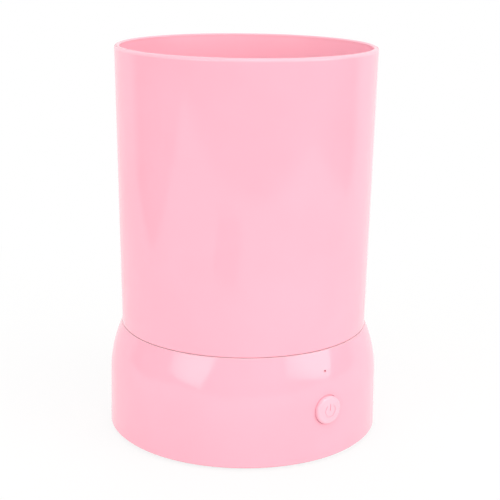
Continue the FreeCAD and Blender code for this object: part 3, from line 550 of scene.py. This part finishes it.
def make_scrub_pad():
    """Soft mat with rings of nubs, and finer bristles between the rings."""
    low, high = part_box("scrub_pad")
    top = low.z + mat_thickness
    edge = high.x
    bulge = mat_edge_bulge * mat_edge
    mat = [(mat_bore, low.z), (edge - mat_edge, low.z), (edge, low.z + mat_edge), (edge, top - mat_edge)]
    mat += [(edge - bulge, top - bulge), (edge - mat_edge, top), (mat_bore, top)]
    shape = bmesh.new()
    turned(shape, mat, mat_segments)
    nub = bristle(nub_base, nub_tip, top, high.z)
    for i in range(nub_circles):
        for x, y in ring_places(nub_first_circle + circle_step * i, nubs_per_step * (i + 2)):
            turned(shape, nub, nub_segments, x, y)
    fine = bristle(bristle_base, bristle_tip, top, top + bristle_height)
    for i in range(bristle_circles):
        radius = bristle_first_circle + circle_step * i
        count = round(2 * math.pi * radius / bristle_pitch)
        for x, y in ring_places(radius, count, math.pi / count):
            turned(shape, fine, bristle_segments, x, y)
    piece("scrub_pad_soft", shape, "silicone_pink", "turntable", "scrub_pad")


def make_camera():
    """Camera at the photograph's viewing angle."""
    data = bpy.data.cameras.new("camera")
    data.sensor_width = sensor_width
    data.lens = camera_lens
    data.clip_start = nearest_seen
    data.clip_end = farthest_seen
    camera = add_object("camera", data)
    around = Matrix.Rotation(camera_azimuth, 4, "Z")
    place = around @ Matrix.Translation((0.0, -camera_distance, camera_height))
    facing = Matrix.Rotation(camera_yaw, 4, "Z") @ Matrix.Rotation(math.pi / 2 - camera_pitch, 4, "X")
    camera.matrix_world = place @ facing @ Matrix.Rotation(camera_roll, 4, "Z")
    bpy.context.scene.camera = camera


def softbox(name, azimuth, elevation, distance, width, height, power,
            roll=0, hot_spot=lamp_centre, shows=True):
    """Rectangular lamp that faces the object and dims away from its hot spot.

    One that doesn't show is left out of reflections.
    """
    data = bpy.data.lights.new(name, "AREA")
    data.color = lamp_colour
    data.shape = "RECTANGLE"
    data.size = width
    data.size_y = height
    data.energy = power
    data.use_nodes = True
    tree = data.node_tree
    cloth = tree.nodes.new("ShaderNodeNewGeometry").outputs["Parametric"]
    away = vector_step("DISTANCE", cloth, (*hot_spot, 0.0))
    link(between(away, 1.0, lamp_edge, *lamp_fade), tree.nodes["Emission"], "Strength")
    lamp = add_object(name, data)
    turn = Matrix.Rotation(camera_azimuth + math.radians(azimuth), 3, "Z")
    tilt = math.radians(elevation)
    outward = turn @ Vector((0.0, -math.cos(tilt), math.sin(tilt)))
    lamp.location = light_target + outward * distance
    upright = outward.to_track_quat("Z", "Y").to_matrix()
    lamp.rotation_euler = (upright @ Matrix.Rotation(math.radians(roll), 3, "Z")).to_euler()
    lamp.visible_camera = False
    lamp.visible_glossy = shows


def light_path(node):
    """What kind of ray meets the tree of a node."""
    return node.id_data.nodes.new("ShaderNodeLightPath").outputs


def seen_as_white(node):
    """1 where the background is seen directly, in a reflection or through a clear piece."""
    ray = light_path(node)
    plain = number_step("MAXIMUM", ray["Is Camera Ray"], ray["Is Glossy Ray"])
    return number_step("MAXIMUM", plain, ray["Is Transmission Ray"])


def make_world():
    """Even ambient light; a white sweep behind the object, and in reflections a dimmer room before it."""
    world = bpy.data.worlds.new("studio")
    world.use_nodes = True
    bpy.context.scene.world = world
    tree = world.node_tree
    ambient = tree.nodes["Background"]
    sweep = tree.nodes.new("ShaderNodeBackground")
    for background in (ambient, sweep):
        background.inputs["Color"].default_value = (1.0, 1.0, 1.0, 1.0)
    ambient.inputs["Strength"].default_value = ambient_strength
    behind = Matrix.Rotation(camera_azimuth, 3, "Z") @ Vector((0.0, 1.0, 0.0))
    facing = vector_step("DOT_PRODUCT", coordinate(sweep, "Generated"), tuple(behind))
    room = between(facing, room_level, 1.0, *room_turn)
    link(number_step("MAXIMUM", room, light_path(sweep)["Is Camera Ray"]), sweep, "Strength")
    shaders = ambient.outputs["Background"], sweep.outputs["Background"]
    mix_shaders(seen_as_white(sweep), *shaders, "World Output")


def floor_white():
    """Paper that shows the object's shadow and fades to plain white away from it."""
    material = bpy.data.materials.new("floor_white")
    material.use_nodes = True
    tree = material.node_tree
    tree.nodes.remove(tree.nodes["Principled BSDF"])
    paper = tree.nodes.new("ShaderNodeBsdfDiffuse")
    glow = tree.nodes.new("ShaderNodeEmission")
    place = coordinate(paper, "Object")
    mottle = noise(place, sheet_mottle_size, detail=3.0)
    link(ramp(mottle, [sheet_albedo * sheet_mottle] * 3, [sheet_albedo] * 3), paper, "Color")
    share = between(vector_step("LENGTH", place), sheet_white_near, 1.0, *sheet_fade)
    factor = number_step("MULTIPLY", share, seen_as_white(paper))
    mix_shaders(factor, paper.outputs["BSDF"], glow.outputs["Emission"], "Material Output")
    return material


def make_floor():
    """White sheet under the object."""
    shape = bmesh.new()
    turn = Matrix.Rotation(camera_azimuth, 3, "Z")
    shape.faces.new([shape.verts.new(turn @ Vector((right, -near, 0.0))) for right, near in sheet_corners])
    mesh = finished_mesh("floor", shape)
    mesh.materials.append(floor_white())
    floor = add_object("floor", mesh)
    floor.location.z = cad_box[0].z


bpy.context.scene.view_settings.view_transform = "Standard"
make_pink_finishes()
make_soft_finishes()
make_metal_finishes()
make_inner_finishes()
dress_nodes()
make_scrub_pad()
make_camera()
make_world()
make_floor()
for lamp_name, setting in lamps.items():
    softbox(lamp_name, **setting)
